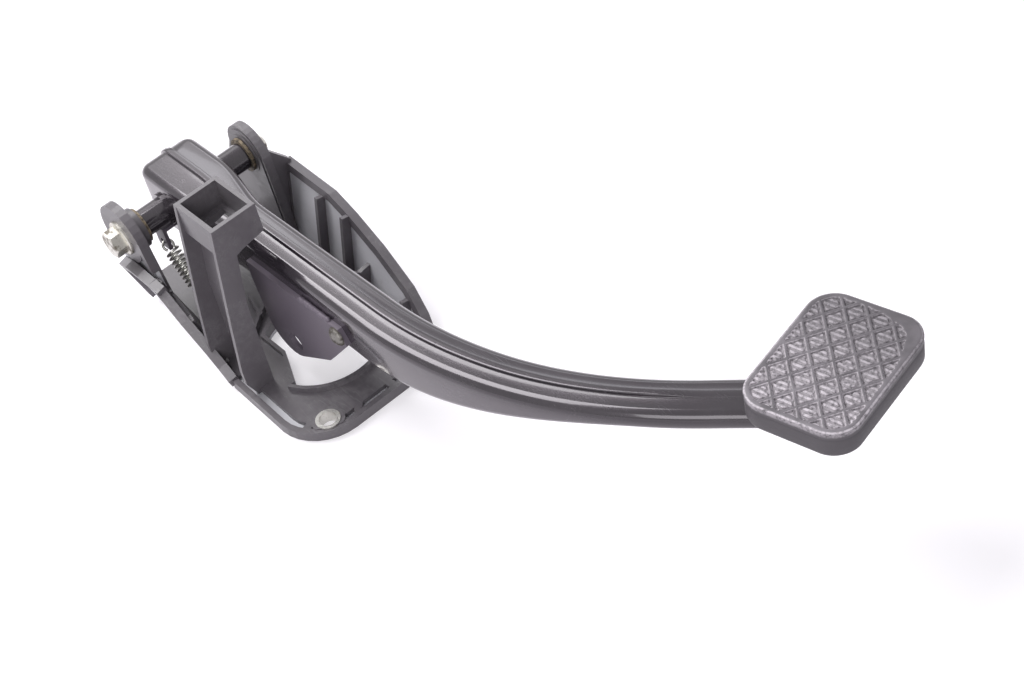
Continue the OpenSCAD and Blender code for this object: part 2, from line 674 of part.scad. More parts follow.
bracket_sheet();
bracket_moulding();
fixing_sleeve(1, -1);  // fixing_sleeve_1
fixing_sleeve(1, 1);  // fixing_sleeve_2
fixing_sleeve(-1, 1);  // fixing_sleeve_3
fixing_sleeve(-1, -1);  // fixing_sleeve_4
pivot_bolt();
pivot_nut();
pivot_spacer();
pivot_tube();
pivot_bush(-1);  // pivot_bush_left
pivot_bush(1);  // pivot_bush_right
arm_left_shell();
arm_right_shell();
pushrod_lug_left();
pushrod_lug_right();
lug_rivet_left();
lug_rivet_right();
spring_tab();
return_spring();
pad_plate();
pad_rubber();
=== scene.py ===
# %% [markdown]
# # A hanging brake pedal, dressed for its picture
# The object is a brake pedal on its bracket: a pressed steel tray edged with black plastic, a black
# painted arm made of two pressed shells, and a rubber pad with a diamond tread. The hard parts come
# from the CAD model and stay exactly where it puts them. This file gives each of them the finish of
# the real one. It also makes, in mesh form, the pieces that need finer relief or smoother curves.

# %% Load the fixed frame
import math

import bmesh
import bpy
from mathutils import Matrix, Vector
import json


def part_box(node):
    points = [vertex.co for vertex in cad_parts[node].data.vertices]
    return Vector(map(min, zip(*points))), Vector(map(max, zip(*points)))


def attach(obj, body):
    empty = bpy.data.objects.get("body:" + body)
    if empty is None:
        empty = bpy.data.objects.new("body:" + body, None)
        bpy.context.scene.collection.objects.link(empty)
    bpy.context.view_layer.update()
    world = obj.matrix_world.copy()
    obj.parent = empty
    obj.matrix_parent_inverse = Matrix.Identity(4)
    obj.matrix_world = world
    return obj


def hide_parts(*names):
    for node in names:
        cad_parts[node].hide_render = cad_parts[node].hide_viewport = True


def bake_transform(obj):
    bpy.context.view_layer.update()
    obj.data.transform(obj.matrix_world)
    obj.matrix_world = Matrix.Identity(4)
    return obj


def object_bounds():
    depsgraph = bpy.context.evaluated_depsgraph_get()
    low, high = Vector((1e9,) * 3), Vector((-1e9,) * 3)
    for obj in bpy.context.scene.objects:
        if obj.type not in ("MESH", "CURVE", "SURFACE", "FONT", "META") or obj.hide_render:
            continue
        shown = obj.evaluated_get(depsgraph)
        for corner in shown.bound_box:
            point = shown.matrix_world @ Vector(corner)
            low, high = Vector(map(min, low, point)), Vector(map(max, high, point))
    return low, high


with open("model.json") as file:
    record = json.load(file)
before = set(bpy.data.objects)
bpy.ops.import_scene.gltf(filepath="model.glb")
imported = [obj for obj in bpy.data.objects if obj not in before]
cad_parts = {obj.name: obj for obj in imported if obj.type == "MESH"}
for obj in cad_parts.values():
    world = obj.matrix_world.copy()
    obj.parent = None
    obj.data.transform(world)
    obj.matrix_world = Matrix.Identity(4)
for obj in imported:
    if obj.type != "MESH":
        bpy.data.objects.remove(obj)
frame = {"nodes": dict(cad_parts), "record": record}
cad_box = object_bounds()
print("CAD box", cad_box)

# %% [markdown]
# ## From numbers to objects
# Every piece below is worked out in Python or by a modifier, and is then kept as a plain mesh.
# These helpers do that in the same way each time. The CAD model is in millimetres, and the scene
# is in metres.

# %% Helpers for meshes and objects
MM_PER_M = 1000


def smooth(low, high, value):
    """0 below low, 1 above high, and an even S between them."""
    t = min(1.0, max(0.0, (value - low) / (high - low)))
    return t * t * (3 - 2 * t)


def add_object(name, data):
    """Put data into the scene as an object at the origin."""
    thing = bpy.data.objects.new(name, data)
    bpy.context.scene.collection.objects.link(thing)
    return thing


def add_mesh(name, mesh):
    """Keep a finished bmesh as an object."""
    data = bpy.data.meshes.new(name)
    mesh.to_mesh(data)
    mesh.free()
    return add_object(name, data)


def keep_result(thing):
    """Replace an object's mesh by what its modifiers make of it, and take them off."""
    graph = bpy.context.evaluated_depsgraph_get()
    result = bpy.data.meshes.new_from_object(thing.evaluated_get(graph))
    thing.modifiers.clear()
    thing.data = result


def join_loops(mesh, loops, closed=False):
    """Faces from each loop of vertices to the next, and from the last to the first if closed."""
    pairs = list(zip(loops, loops[1:])) + ([(loops[-1], loops[0])] if closed else [])
    for one, two in pairs:
        for k in range(len(one)):
            after = (k + 1) % len(one)
            mesh.faces.new((one[k], one[after], two[after], two[k]))


# %% [markdown]
# ## Writing shader maths as plain sums
# A pattern such as dust or scratches is a sum of noises, masks and steps. Wiring each step by hand
# hides the idea, so one small class wraps a node's socket and turns +, - and * into Math nodes.
# Every shader node comes from one method of a second class, which takes its type, the values or
# links of its inputs and its settings. A third class is the workbench for one material.

# %% A socket that can be added and multiplied
class Signal:
    """One output socket of a node, with arithmetic."""

    def __init__(self, nodes, socket):
        self.nodes = nodes
        self.socket = socket

    def output(self, key):
        """Another output of the same node, by name or number."""
        return Signal(self.nodes, self.socket.node.outputs[key])

    def maths(self, operation, *others):
        return self.nodes.node("ShaderNodeMath", dict(enumerate((self,) + others)),
                               {"operation": operation})

    def __add__(self, other):
        return self.maths("ADD", other)

    __radd__ = __add__

    def __mul__(self, other):
        return self.maths("MULTIPLY", other)

    __rmul__ = __mul__

    def __sub__(self, other):
        return self.maths("SUBTRACT", other)

    def __rsub__(self, other):
        return (self * -1) + other

    def clamped(self):
        return self.maths("MAXIMUM", 0.0).maths("MINIMUM", 1.0)

    def step(self, low, high):
        """0 below low, 1 above high, smooth between; low may be the larger."""
        inputs = {"Value": self, "From Min": min(low, high), "From Max": max(low, high)}
        rising = self.nodes.node("ShaderNodeMapRange", inputs,
                                 {"interpolation_type": "SMOOTHSTEP"})
        return rising if low < high else 1 - rising


# %% A tree that nodes are added to
class Nodes:
    """A node tree that starts empty."""

    def __init__(self, tree):
        self.tree = tree
        tree.nodes.clear()

    def feed(self, slot, value):
        """Give a socket a link from a signal, or a plain value."""
        if isinstance(value, Signal):
            self.tree.links.new(value.socket, slot)
        else:
            slot.default_value = value

    def node(self, kind, inputs=None, settings=None):
        """Make a node with its settings, feed its inputs by name or number, give its output."""
        node = self.tree.nodes.new(kind)
        for name, value in (settings or {}).items():
            setattr(node, name, value)
        for key, value in (inputs or {}).items():
            self.feed(node.inputs[key], value)
        return Signal(self, node.outputs[0]) if node.outputs else None


# %% The workbench for one material
# The factor, the two colours and the result of a Mix node that is set to colours
MIX_FACTOR, MIX_FIRST, MIX_SECOND, MIX_RESULT = 0, 6, 7, 2


class Finish(Nodes):
    """A material under construction, with the nodes that every finish here shares."""

    def __init__(self, name):
        self.material = bpy.data.materials.new(name)
        self.material.use_nodes = True
        super().__init__(self.material.node_tree)
        surface = self.node("ShaderNodeBsdfPrincipled")
        self.shader = surface.socket.node
        self.node("ShaderNodeOutputMaterial", {"Surface": surface})
        self.place = self.node("ShaderNodeTexCoord").output("Object")
        axes = self.node("ShaderNodeSeparateXYZ", {"Vector": self.place})
        self.x, self.y, self.z = (axes.output(axis) for axis in "XYZ")

    def set(self, name, value):
        self.feed(self.shader.inputs[name], value)

    def noise(self, size_mm, detail=4.0, roughness=0.55, stretch=(1, 1, 1), turn=0.0):
        """Noise with features of about size_mm; stretch lengthens it along X, Y or Z."""
        place = self.place
        if turn or stretch != (1, 1, 1):
            place = self.node("ShaderNodeMapping", {
                "Vector": place, "Rotation": (0, 0, turn), "Scale": tuple(1 / s for s in stretch)})
        return self.node("ShaderNodeTexNoise", {
            "Vector": place, "Scale": MM_PER_M / size_mm, "Detail": detail,
            "Roughness": roughness})

    def spots(self, size_mm):
        return self.node("ShaderNodeTexVoronoi", {
            "Vector": self.place, "Scale": MM_PER_M / size_mm, "Randomness": 1.0})

    def mixed(self, amount, first, second):
        """The colour first where amount is 0, and second where it is 1."""
        first, second = (c if isinstance(c, Signal) else (*c, 1.0) for c in (first, second))
        inputs = {MIX_FACTOR: amount, MIX_FIRST: first, MIX_SECOND: second}
        return self.node("ShaderNodeMix", inputs, {"data_type": "RGBA"}).output(MIX_RESULT)

    def bump(self, height, depth_mm):
        self.set("Normal", self.node("ShaderNodeBump", {
            "Strength": 1.0, "Distance": depth_mm / MM_PER_M, "Height": height}))


def scratches(finish, size_mm, turn, long=14.0, width=0.05):
    """Thin broken lines: a noise drawn out along one direction, cut to a narrow band."""
    line = finish.noise(size_mm, detail=2.0, stretch=(long, 1, 1), turn=turn)
    band = (line - 0.5).maths("ABSOLUTE").step(width * 0.25, 0.0)
    patch = finish.noise(size_mm * 9, detail=2.0).step(0.5, 0.62)
    return band * patch


# %% [markdown]
# ## The finishes
# The pedal is used: dust lies in patches, the paint is scratched where shoes and tools have touched
# it, and the bare steel has dull zinc on it. Each finish starts with the colour of the clean
# material and adds the layers that time has put on it. The arm's sides and the pad also carry
# painted light: a painted reflection, a painted sheen and painted highlights.

# %% Black paint of the arm
# Painted reflection with some dust grows from the first to the second of these: the height, and the
# place along the arm
SHEEN_HAZE_HEIGHT, SHEEN_HAZE_ALONG = (0.074, 0.066), (0.04, 0.16)


def arm_paint(name="arm_paint_black", gloss=1.0, pale=1.0):
    """gloss is 1 for the arm's bright coat, 0 for the small pressings; pale lightens the black."""
    black, dusty, bare = (0.018, 0.0153, 0.019), (0.13, 0.12, 0.13), (0.13, 0.124, 0.13)
    f = Finish(name)
    cloud = f.noise(38, detail=5)
    dust = f.noise(1.4, detail=3) * cloud.step(0.42, 0.7)
    marks = scratches(f, 2.2, 0.5) + scratches(f, 1.6, -0.35, long=10)
    # The haze is a painted reflection with some dust: it lies on the arm's sides, below its front
    # face and thicker towards the pad
    sheen_and_haze = f.z.step(*SHEEN_HAZE_HEIGHT) * f.x.step(*SHEEN_HAZE_ALONG) * (0.25 + cloud * 0.3) * gloss
    # dusty colours both the dust and the painted reflection on the sides
    colour = f.mixed((dust * 0.12 + sheen_and_haze).clamped(), tuple(pale * c for c in black), dusty)
    f.set("Base Color", f.mixed((marks * 0.16).clamped(), colour, bare))
    f.set("Roughness", (0.44 - 0.26 * gloss + dust * 0.10 + marks * 0.08).clamped())
    f.set("Specular IOR Level", 0.4)
    f.set("Coat Weight", 0.65 * gloss)
    f.set("Coat Roughness", 0.06)
    f.set("Specular Tint", (1.0, 0.93, 1.0, 1))
    f.set("Coat Tint", (1.0, 0.95, 1.0, 1))
    f.bump(f.noise(5, detail=2) * 0.9 + marks * 0.1, 0.012)
    return f.material


# %% Black plastic of the moulding
def moulding_plastic():
    clean, dusty, scuffed = (0.098, 0.088, 0.099), (0.18, 0.168, 0.178), (0.21, 0.205, 0.21)
    f = Finish("moulding_plastic")
    cloud = f.noise(26, detail=6)
    grain = f.noise(0.5, detail=2)
    dust = cloud.step(0.4, 0.68) * f.noise(3.2, detail=5).step(0.3, 0.7)
    scuff = scratches(f, 3.0, 0.8, long=9, width=0.09) + scratches(f, 2.0, -0.6, long=12)
    colour = f.mixed((dust * 0.35).clamped(), clean, dusty)
    f.set("Base Color", f.mixed((scuff * 0.3).clamped(), colour, scuffed))
    f.set("Roughness", (0.36 + dust * 0.14 - scuff * 0.06 + grain * 0.05).clamped())
    f.set("Specular IOR Level", 0.65)
    f.bump(grain * 0.4 + f.noise(14, detail=2) * 0.6, 0.05)
    return f.material


# %% Zinc plated sheet of the tray
def zinc_sheet():
    dark, bright, stained = (0.56, 0.555, 0.59), (0.72, 0.715, 0.75), (0.36, 0.35, 0.34)
    f = Finish("zinc_sheet")
    cloud = f.noise(24, detail=6)
    grain = f.noise(1.2, detail=4, stretch=(10, 1, 1))
    stain = f.noise(11, detail=6, roughness=0.7).step(0.55, 0.75)
    marks = scratches(f, 2.4, 1.2, width=0.08)
    colour = f.mixed((cloud * 0.6 + grain * 0.3).clamped(), dark, bright)
    f.set("Base Color", f.mixed((stain * 0.3).clamped(), colour, stained))
    f.set("Metallic", (0.25 - stain * 0.15).clamped())
    f.set("Roughness", (0.46 + cloud * 0.12 + stain * 0.12 - marks * 0.1).clamped())
    f.bump(grain * 0.5 + marks * 0.5, 0.02)
    return f.material


# %% Plated steel of the sleeves, the bolt, the rivets and the spring
def plated_steel(name, clean, grimy, grime_from, rough):
    """Grime covers the noise's values above grime_from; rough is the clean steel's roughness."""
    f = Finish(name)
    cloud = f.noise(5, detail=6, roughness=0.65)
    pits = f.spots(1.3).step(0.35, 0.1)
    grime = cloud.step(grime_from, grime_from + 0.16)
    f.set("Base Color", f.mixed((grime + pits * 0.25).clamped(), clean, grimy))
    f.set("Metallic", (0.95 - grime * 0.5).clamped())
    f.set("Roughness", (rough + grime * 0.3 + pits * 0.1).clamped())
    f.bump(cloud * 0.6 - pits * 0.4, 0.05)
    return f.material


# %% Dirty plastic of the bushes
def bush_plastic():
    plastic, dirty = (0.22, 0.17, 0.11), (0.045, 0.038, 0.03)
    f = Finish("bush_plastic")
    cloud = f.noise(3.5, detail=6, roughness=0.7)
    crust = f.noise(1.1, detail=5, roughness=0.75)
    dirt = (cloud * 0.6 + crust * 0.4).step(0.42, 0.6)
    f.set("Base Color", f.mixed(dirt, plastic, dirty))
    f.set("Roughness", (0.55 + dirt * 0.35).clamped())
    f.bump(crust, 0.25)
    return f.material


# %% [markdown]
# ## The rubber
# The pad is black rubber whose raised tread has been polished and greyed by shoes. The short bars
# between the ridges are painted palest, a painted highlight with dust on it, and dust also lies on
# the tread's floor. Ridges, bars and floor have different heights, so the pattern tells them apart
# by the Z of the point.

# %% Rubber of the pad
# A painted sheen, with more wear and dust, grows across the pad, from the first of these Y to the
# second
SHEEN_AND_WEAR_SIDE = (0.125, 0.06)


def pad_rubber(top_z, relief):
    dark, light = (0.052, 0.046, 0.053), (0.086, 0.077, 0.087)
    polished, dusty = (0.25, 0.228, 0.252), (0.56, 0.515, 0.555)

    def between(lower, upper):
        """0 at lower and 1 at upper, both given as depths below the top in reliefs."""
        return f.z.step(top_z - lower * relief, top_z - upper * relief)

    f = Finish("pad_rubber")
    cloud = f.noise(13, detail=5)
    grain = f.noise(0.7, detail=5, roughness=0.7)
    crumbs = f.noise(1.6, detail=6, roughness=0.7)
    high = between(0.75, 0.1)
    top_half = between(3, 1.5)
    # One side of the pad painted lighter: a painted sheen, with more polish and dust there too
    sheen_and_wear = f.y.step(*SHEEN_AND_WEAR_SIDE) * 0.65 + 0.35
    # The bar tops, painted pale: a painted highlight with dust on them
    bar_highlight_and_dust = between(0.55, 0.3) * between(0.06, 0.14)
    ridge_polish_and_sheen = high * cloud.step(0.3, 0.65) * sheen_and_wear
    # dust: real dust on the tread's floor, plus the bars' painted highlight and the painted sheen
    # of one side
    dust = (bar_highlight_and_dust + top_half * (1 - high) * 0.6) * crumbs.step(0.3, 0.6) * sheen_and_wear
    base = f.mixed(cloud, dark, light)
    polished_and_sheen_colour = f.mixed((ridge_polish_and_sheen * 0.6 + high * 0.1).clamped(), base, polished)
    f.set("Base Color", f.mixed((dust * 0.95).clamped(), polished_and_sheen_colour, dusty))
    f.set("Roughness", (0.52 - ridge_polish_and_sheen * 0.14 + dust * 0.2 + grain * 0.08).clamped())
    f.bump(grain * 0.55 + crumbs * 0.45, 0.10)
    return f.material


# %% Give every CAD node its finish
steel_sleeve = plated_steel("sleeve_steel", (0.62, 0.61, 0.58), (0.2, 0.18, 0.15), 0.56, 0.28)
steel_bolt = plated_steel("bolt_steel", (0.56, 0.54, 0.50), (0.17, 0.15, 0.125), 0.48, 0.34)
steel_rivet = plated_steel("rivet_steel", (0.20, 0.19, 0.18), (0.06, 0.052, 0.045), 0.45, 0.42)
steel_spring = plated_steel("spring_steel", (0.60, 0.59, 0.56), (0.16, 0.15, 0.13), 0.6, 0.3)
finishes = {
    "sheet": zinc_sheet(),
    "moulding": moulding_plastic(),
    "sleeve": steel_sleeve,
    "bolt": steel_bolt,
    "arm_paint": arm_paint(),
    "bush": bush_plastic(),
    "spring": steel_spring,
}
dull_paint = arm_paint("small_parts_dull", gloss=0.0, pale=6.2)
# These nodes look different from the rest of their material slot
special = {"lug_rivet_left": steel_rivet, "lug_rivet_right": steel_rivet, "spring_tab": dull_paint,
           "pushrod_lug_left": dull_paint, "pushrod_lug_right": dull_paint}
node_slot = {part["node"]: part["material_slot"] for part in frame["record"]["subparts"]}
for name, thing in frame["nodes"].items():
    if node_slot[name] in finishes:
        thing.data.materials.clear()
        thing.data.materials.append(special.get(name, finishes[node_slot[name]]))
print("finished", len(frame["nodes"]), "CAD nodes in", len(finishes), "finishes")

# %% [markdown]
# ## The pad's tread
# The real pad is one moulding: a rounded slab whose top carries thin ridges that cross in long
# diamonds, with short bars in each diamond. Cutting that into the CAD solid would cost thousands of
# faces, and a bump map would vanish at a low angle. Instead the top is a fine grid, and each point
# is set by a rule of its place on the pad.

# %% Sizes of the pad and its tread
pad_low, pad_high = (Vector(c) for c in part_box("pad_rubber"))
PAD_TURN = math.radians(12)
PAD_WIDTH, PAD_LENGTH, PAD_CORNER = 0.068, 0.049, 0.012
PAD_MIDDLE = Vector(((pad_low.x + pad_high.x) / 2, (pad_low.y + pad_high.y) / 2))
PAD_TOP = pad_high.z
TREAD_RELIEF = 0.0011
TREAD_PITCH = 0.00835
TREAD_ANGLE = math.radians(51.3)
# A ridge or a bar is flat out to its first distance, and meets the floor at its second
RIDGE = (0.00045, 0.0009)
BAR = (0.0004, 0.00105)
BAR_PITCH = 0.0026
BAR_HEIGHT = 0.82
# A bar rises between these distances from a ridge, and the tread between these from the outline
BAR_STARTS = (0.0011, 0.0017)
TREAD_STARTS = (0.0022, 0.0034)
# One corner of the pad has a wider plain edge: how much wider, and where it sets in
PLAIN_CORNER = 0.005
PLAIN_FROM = (0.030, 0.046)
print("pad middle", PAD_MIDDLE, "top", PAD_TOP)


# %% How high the tread stands at a point
def nearest(value, pitch):
    """Distance to the nearest of a family of evenly spaced lines."""
    return abs(value - math.floor(value / pitch + 0.5) * pitch)


def tread_height(u, v):
    """u runs along the pad's short side, v across it; 0 in a hollow and 1 on a ridge."""
    c, s = math.cos(TREAD_ANGLE), math.sin(TREAD_ANGLE)
    to_ridge = min(nearest(u * s - v * c, TREAD_PITCH), nearest(u * s + v * c, TREAD_PITCH))
    bar = (1 - smooth(*BAR, nearest(v, BAR_PITCH))) * smooth(*BAR_STARTS, to_ridge)
    return max(1 - smooth(*RIDGE, to_ridge), BAR_HEIGHT * bar)


def past_corner(u, v):
    """How far a point lies beyond the middle of its corner's round, along u and along v."""
    return abs(u) - (PAD_LENGTH / 2 - PAD_CORNER), abs(v) - (PAD_WIDTH / 2 - PAD_CORNER)


def edge_distance(u, v):
    """How far inside the pad's rounded outline a point is."""
    x, y = past_corner(u, v)
    return PAD_CORNER - math.hypot(max(x, 0), max(y, 0)) - min(0, max(x, y))


def tread_drop(u, v):
    """How far below the pad's top a point of it lies."""
    margin = PLAIN_CORNER * smooth(*PLAIN_FROM, u + v)
    start, full = (distance + margin for distance in TREAD_STARTS)
    return TREAD_RELIEF * smooth(start, full, edge_distance(u, v)) * (1 - tread_height(u, v))


# %% Places on the pad and directions out of it
def pad_point(u, v, z):
    c, s = math.cos(PAD_TURN), math.sin(PAD_TURN)
    return Vector((PAD_MIDDLE.x + u * c - v * s, PAD_MIDDLE.y + u * s + v * c, z))


def outline_half_length(v, shrink):
    """Half the length, at a distance v across, of the outline drawn in by shrink."""
    over = abs(v) - (PAD_WIDTH / 2 - PAD_CORNER)
    r = PAD_CORNER - shrink
    if over <= 0:
        return PAD_LENGTH / 2 - shrink
    return PAD_LENGTH / 2 - PAD_CORNER + math.sqrt(max(0.0, r * r - over * over))


def outward(place):
    """The level direction that leads straight out of the outline at a place on it."""
    c, s = math.cos(PAD_TURN), math.sin(PAD_TURN)
    offset = place - pad_point(0, 0, 0)
    u, v = offset.x * c + offset.y * s, -offset.x * s + offset.y * c
    x, y = past_corner(u, v)
    if x > 0 and y > 0:
        d = Vector((math.copysign(x, u), math.copysign(y, v)))
    elif x > y:
        d = Vector((math.copysign(1, u), 0))
    else:
        d = Vector((0, math.copysign(1, v)))
    d.normalize()
    return Vector((d.x * c - d.y * s, d.x * s + d.y * c, 0))


# %% Build the pad as one closed skin
PAD_COLUMNS, PAD_ROWS = 150, 200
PAD_INSET = 0.0014
# Rows crowd towards the two round ends, where the outline turns quickly
CROWDING = math.pi / 2 * 0.97
# The side of the pad, from its top edge down and under: how far out, and how high from the top
PAD_PROFILE = [(0.0009, -0.0002), (0.0013, -0.0006), (0.0014, -0.0012), (0.0012, -0.0040),
               (0.0010, -0.0046), (0.0014, -0.0052), (0.0014, -0.0118), (0.0010, -0.0130),
               (0.0000, -0.0135), (-0.0040, -0.0135), (-0.0040, -0.0120)]
SAME_POINT = 1e-6


def tread_grid(mesh):
    """The pad's top as rows of vertices."""
    grid = []
    for j in range(PAD_ROWS + 1):
        share = math.sin((j / PAD_ROWS * 2 - 1) * CROWDING) / math.sin(CROWDING)
        v = share * (PAD_WIDTH / 2 - PAD_INSET)
        half = outline_half_length(v, PAD_INSET)
        across = [half * (i / PAD_COLUMNS * 2 - 1) for i in range(PAD_COLUMNS + 1)]
        grid.append([mesh.verts.new(pad_point(u, v, PAD_TOP - tread_drop(u, v))) for u in across])
    return grid


def build_pad():
    mesh = bmesh.new()
    grid = tread_grid(mesh)
    for row, after in zip(grid, grid[1:]):
        for i in range(PAD_COLUMNS):
            mesh.faces.new((row[i], row[i + 1], after[i + 1], after[i]))
    rim = (grid[0][:-1] + [row[-1] for row in grid[:-1]]
           + grid[-1][:0:-1] + [row[0] for row in grid[:0:-1]])
    places = [vert.co.copy() for vert in rim]
    directions = [outward(place) for place in places]
    rings = [rim]
    for out, height in PAD_PROFILE:
        z = max(pad_low.z, PAD_TOP + height)
        rings.append([mesh.verts.new(Vector((place.x, place.y, z)) + direction * out)
                      for place, direction in zip(places, directions)])
    for top, bottom in zip(rings, rings[1:]):
        for k in range(len(rim)):
            after = (k + 1) % len(rim)
            mesh.faces.new((top[k], bottom[k], bottom[after], top[after]))
    mesh.faces.new(list(reversed(rings[-1])))
    bmesh.ops.remove_doubles(mesh, verts=mesh.verts, dist=SAME_POINT)
    bmesh.ops.recalc_face_normals(mesh, faces=mesh.faces)
    for face in mesh.faces:
        face.smooth = True
    return add_mesh("pad_tread", mesh)


pad_tread = build_pad()
pad_tread.data.materials.append(pad_rubber(PAD_TOP, TREAD_RELIEF))
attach(pad_tread, "pedal")
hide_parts("pad_rubber")
print("pad faces", len(pad_tread.data.polygons))

# %% [markdown]
# ## The arm's two shells
# The CAD shells are swept in coarse steps, and gloss paint shows every flat between them. The same
# rule is swept here in fine steps, with a small round on the lip: a section of the shell is worked
# out at each station, and the stations follow a line that runs straight, bends sideways and runs
# straight again. Sizes are in millimetres, as in the CAD source.

# %% Sizes of the arm
TAIL_X, BEND_X, BEND_R, BEND, END_STRAIGHT = -112.0, 70.0, 235.0, math.radians(40), 50.0
STRAIGHT = BEND_X - TAIL_X
BENT = BEND_R * BEND
ARM_LENGTH = STRAIGHT + BENT + END_STRAIGHT
TAIL_Y, MID_Y, TAIL_ROUND = -0.5, -2.5, 10.0
TAIL_WIDTH, MID_WIDTH = 33.0, 22.0
TAIL_DEPTH, MID_DEPTH, END_DEPTH = 34.0, 27.0, 10.0
FRONT_Z, END_RISE = 75.0, 3.0
SHELL, CORNER, SEAM_SHARE = 2.0, 4.5, 0.09
LIP_LEFT, LIP_RIGHT, LIP_END = 1.6, 1.0, 0.3
# Where each change starts, as a distance from the tail, and over what length it runs
NARROWING, FIRST_TAPER, LAST_TAPER = (36.0, 46.0), (30.0, 80.0), (190.0, 130.0)
RISING = (250.0, ARM_LENGTH - 280.0)
LIP_FADING = (ARM_LENGTH - 70.0, 20.0)
# The least flat that rounds leave on a side and an edge, the least round inside, and how large
# the lip's round is: in millimetres, and as the largest share of the lip
SIDE_FLAT, EDGE_FLAT, INNER_ROUND = 0.4, 0.5, 0.8
LIP_ROUND, LIP_ROUND_SHARE = 0.5, 0.4
LIP_STEPS, OUTER_STEPS, INNER_STEPS = 3, 10, 6


# %% The rule of the line and the section
def taper(first, last, s, start, run):
    """first up to start, last once run has passed, and smooth between, at s from the tail."""
    return first + (last - first) * smooth(start, start + run, s)


def arm_middle(s):
    """Place and heading of the arm's line at a distance s from the tail."""
    heading = min(BEND, max(0.0, (s - STRAIGHT) / BEND_R))
    past = max(0.0, s - STRAIGHT - BENT)
    x = TAIL_X + min(s, STRAIGHT) + BEND_R * math.sin(heading) + past * math.cos(BEND)
    y = taper(TAIL_Y, MID_Y, s, *NARROWING)
    return x, y + BEND_R * (1 - math.cos(heading)) + past * math.sin(BEND), heading


def round_corner(x, z, radius, first, last, steps):
    angles = [math.radians(first + (last - first) * i / steps) for i in range(steps + 1)]
    return [(x + radius * math.cos(a), z + radius * math.sin(a)) for a in angles]


def shell_section(s, side):
    """One shell's outline, as (sideways, height) pairs; side is -1 for left, 1 for right."""
    drawn_in = TAIL_ROUND - math.sqrt(TAIL_ROUND ** 2 - max(0.0, TAIL_ROUND - s) ** 2)
    half = taper(TAIL_WIDTH, MID_WIDTH, s, *NARROWING) / 2
    depth = (taper(TAIL_DEPTH, MID_DEPTH, s, *FIRST_TAPER)
             + taper(0.0, END_DEPTH - MID_DEPTH, s, *LAST_TAPER))
    front = FRONT_Z + taper(0.0, END_RISE, s, *RISING)
    top, bottom = front - drawn_in, front - depth + drawn_in
    lip = taper(LIP_RIGHT if side > 0 else LIP_LEFT, LIP_END, s, *LIP_FADING)
    seam = SEAM_SHARE * half
    wide = half - drawn_in - side * seam
    c = min(CORNER, wide - SHELL - SIDE_FLAT, (top - bottom) / 2 - EDGE_FLAT)
    inner_c = max(INNER_ROUND, c - SHELL)
    edge = min(LIP_ROUND, lip * LIP_ROUND_SHARE)
    w = wide - SHELL - inner_c
    outer = ([(0, top + lip)]
             + round_corner(SHELL - edge, top + lip - edge, edge, 90, 0, LIP_STEPS)
             + round_corner(SHELL + edge, top + edge, edge, 180, 270, LIP_STEPS)
             + round_corner(wide - c, top - c, c, 90, 0, OUTER_STEPS)
             + round_corner(wide - c, bottom + c, c, 0, -90, OUTER_STEPS) + [(0, bottom)])
    inner = ([(0, bottom + SHELL)]
             + round_corner(w, bottom + SHELL + inner_c, inner_c, -90, 0, INNER_STEPS)
             + round_corner(w, top - SHELL - inner_c, inner_c, 0, 90, INNER_STEPS)
             + [(0, top - SHELL)])
    return [(side * x + seam, z) for x, z in outer + inner]


def section_area(section):
    """Area inside a section's outline, which a cap over it must have too."""
    twice = sum(a[0] * b[1] - b[0] * a[1] for a, b in zip(section, section[1:] + section[:1]))
    return abs(twice) / 2


# %% Holes through both shells
# The place and radius of each, in metres, as the CAD source has them
PIVOT_X, PIVOT_Z = -0.090, 0.057
ARM_HOLES = {"pivot_tube": (PIVOT_X, PIVOT_Z, 0.00727), "lug_rivet": (0.054, 0.058, 0.00302)}
DRILL_LENGTH, DRILL_SIDES = 0.08, 64


def bore(skin, x, z, radius):
    mesh = bmesh.new()
    bmesh.ops.create_cone(mesh, cap_ends=True, segments=DRILL_SIDES, radius1=radius,
                          radius2=radius, depth=DRILL_LENGTH,
                          matrix=Matrix.Translation((x, 0, z))
                          @ Matrix.Rotation(math.pi / 2, 4, "X"))
    drill = add_mesh("drill", mesh)
    hole = skin.modifiers.new("hole", "BOOLEAN")
    hole.operation, hole.solver, hole.object = "DIFFERENCE", "EXACT", drill
    keep_result(skin)
    bpy.data.objects.remove(drill)


# %% Sweep one shell, close its ends and bore it
ARM_STATIONS, TAIL_STATIONS = 150, 10
SHARP_ANGLE = math.radians(32)
CAP_TOLERANCE = 0.01


def arm_stations():
    """Distances from the tail: close together round its end, then even."""
    quarter = [math.radians(90 / TAIL_STATIONS * i) for i in range(TAIL_STATIONS)]
    return ([TAIL_ROUND * (1 - math.cos(a)) for a in quarter]
            + [TAIL_ROUND + (ARM_LENGTH - TAIL_ROUND) * i / ARM_STATIONS
               for i in range(ARM_STATIONS + 1)])


